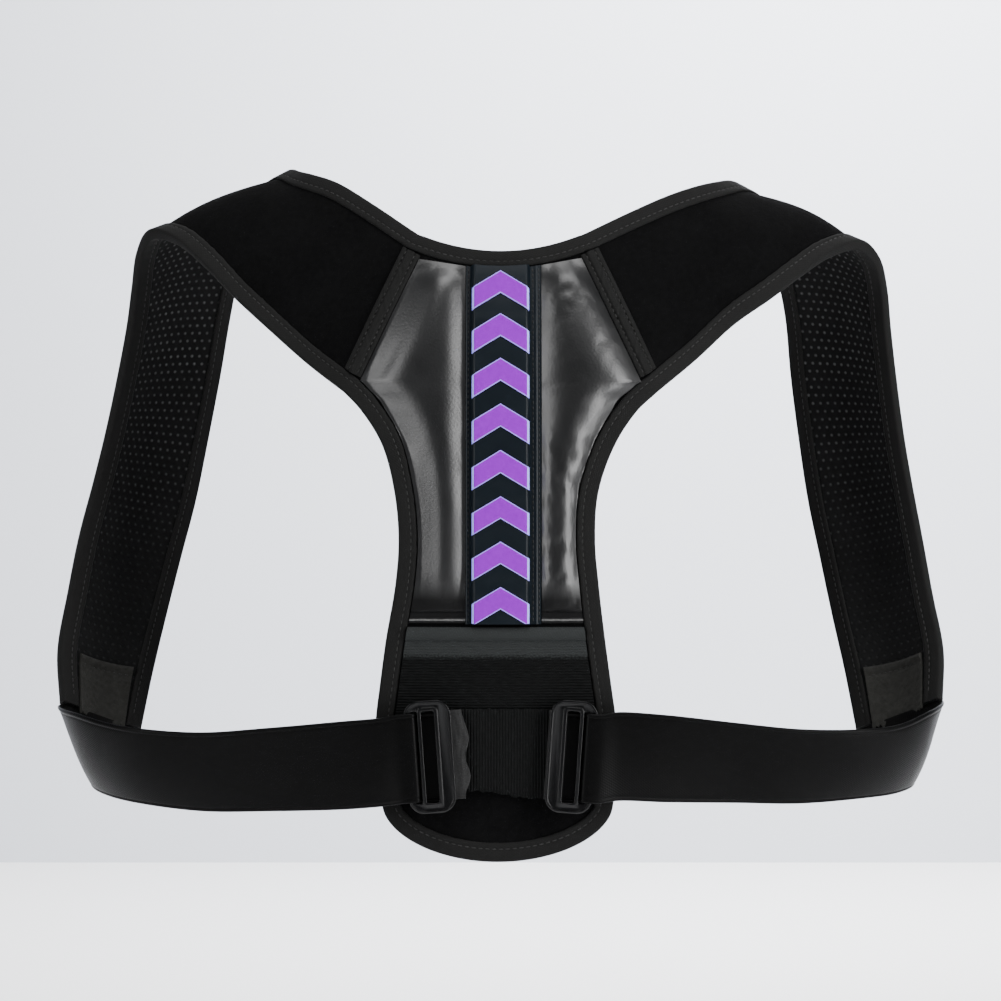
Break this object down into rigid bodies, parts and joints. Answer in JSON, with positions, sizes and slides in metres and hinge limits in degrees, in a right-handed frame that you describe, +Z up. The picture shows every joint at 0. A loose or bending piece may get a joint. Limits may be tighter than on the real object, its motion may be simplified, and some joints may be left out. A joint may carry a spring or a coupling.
{
  "type": "posture corrector",
  "caption": "Padded back brace with leather-covered panel, looped shoulder straps and elastic webbing threaded through slide buckles.",
  "frame": {"origin": "body side of the back panel, on the midline between the shoulder blades, where the part rests on the wearer's back", "axes": "+X to the right seen from behind the wearer, +Y from the panel towards the wearer's chest, +Z up the spine"},
  "size_m": [0.422, 0.1551, 0.3181],
  "materials": {
    "velour": "black brushed loop velour",
    "spacer_mesh": "black spacer mesh with small open cells",
    "binding": "smooth dark grey binding tape with a stitched edge",
    "faux_leather": "glossy black soft leather-look, padded",
    "chevron_print": "satin purple transfer print with a pale blue edge",
    "ribbed_elastic": "black ribbed elastic",
    "elastic_webbing": "smooth dark grey woven elastic",
    "hook_patch": "mottled dark grey felted hook patch",
    "buckle_plastic": "glossy black moulded plastic"
  },
  "bodies": {
    "root": {"back_pad": "velour", "spine_strip": "faux_leather", "lumbar_elastic": "ribbed_elastic", "centre_webbing": "ribbed_elastic", "binding_neck": "binding", "binding_flap": "binding", "chevron_1": "chevron_print", "chevron_2": "chevron_print", "chevron_3": "chevron_print", "chevron_4": "chevron_print", "chevron_5": "chevron_print", "chevron_6": "chevron_print", "chevron_7": "chevron_print", "chevron_8": "chevron_print", "leather_pad_left": "faux_leather", "shoulder_strap_left": "velour", "strap_lining_left": "spacer_mesh", "binding_arm_left": "binding", "seam_tape_left": "binding", "end_patch_left": "hook_patch", "side_webbing_left": "elastic_webbing", "buckle_left": "buckle_plastic", "leather_pad_right": "faux_leather", "shoulder_strap_right": "velour", "strap_lining_right": "spacer_mesh", "binding_arm_right": "binding", "seam_tape_right": "binding", "end_patch_right": "hook_patch", "side_webbing_right": "elastic_webbing", "buckle_right": "buckle_plastic"}
  },
  "joints": []
}
